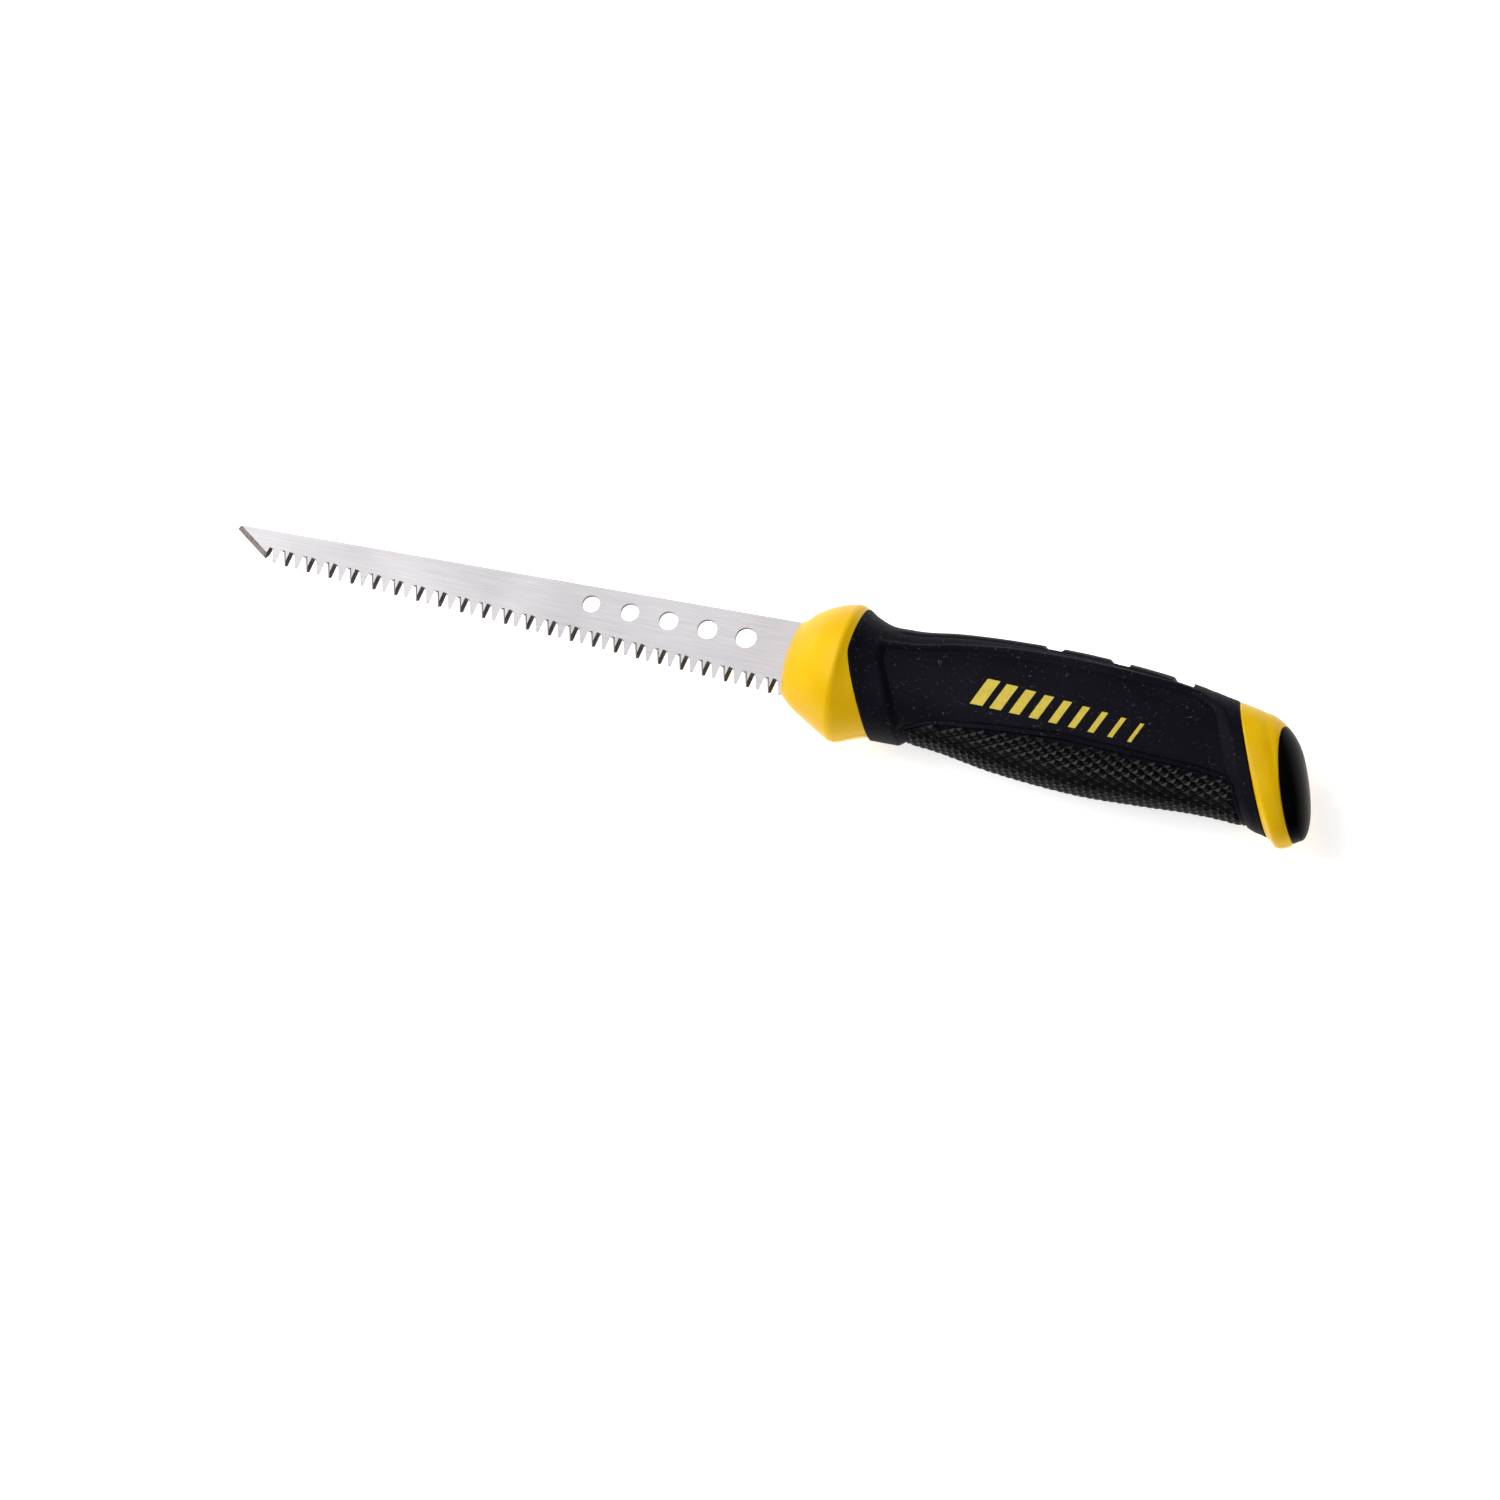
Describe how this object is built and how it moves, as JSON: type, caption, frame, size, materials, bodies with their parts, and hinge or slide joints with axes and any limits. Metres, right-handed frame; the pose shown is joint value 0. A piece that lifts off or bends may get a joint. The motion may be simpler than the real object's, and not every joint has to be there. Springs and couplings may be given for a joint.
{
  "type": "drywall saw",
  "caption": "Hand saw for plasterboard: tapered pierced steel blade with ground teeth and a chisel tip, in a hard plastic handle with a soft textured sleeve and butt pad.",
  "frame": {"origin": "middle of the base of the bounding box; the saw lies flat on its side", "axes": "+X from the blade's tip towards the butt, +Y from the teeth towards the blade's back, +Z out of the blade's face"},
  "size_m": [0.3094, 0.041, 0.0334],
  "materials": {
    "blade_steel": "satin, grained lengthwise",
    "yellow_plastic": "semi-gloss",
    "pin_steel": "satin",
    "sleeve_rubber": "matte",
    "pad_rubber": "satin"
  },
  "bodies": {
    "root": {"blade": "blade_steel", "core_left": "yellow_plastic", "core_right": "yellow_plastic", "tang_pin_front": "pin_steel", "tang_pin_middle": "pin_steel", "tang_pin_rear": "pin_steel", "grip_sleeve": "sleeve_rubber", "butt_pad": "pad_rubber"}
  },
  "joints": []
}
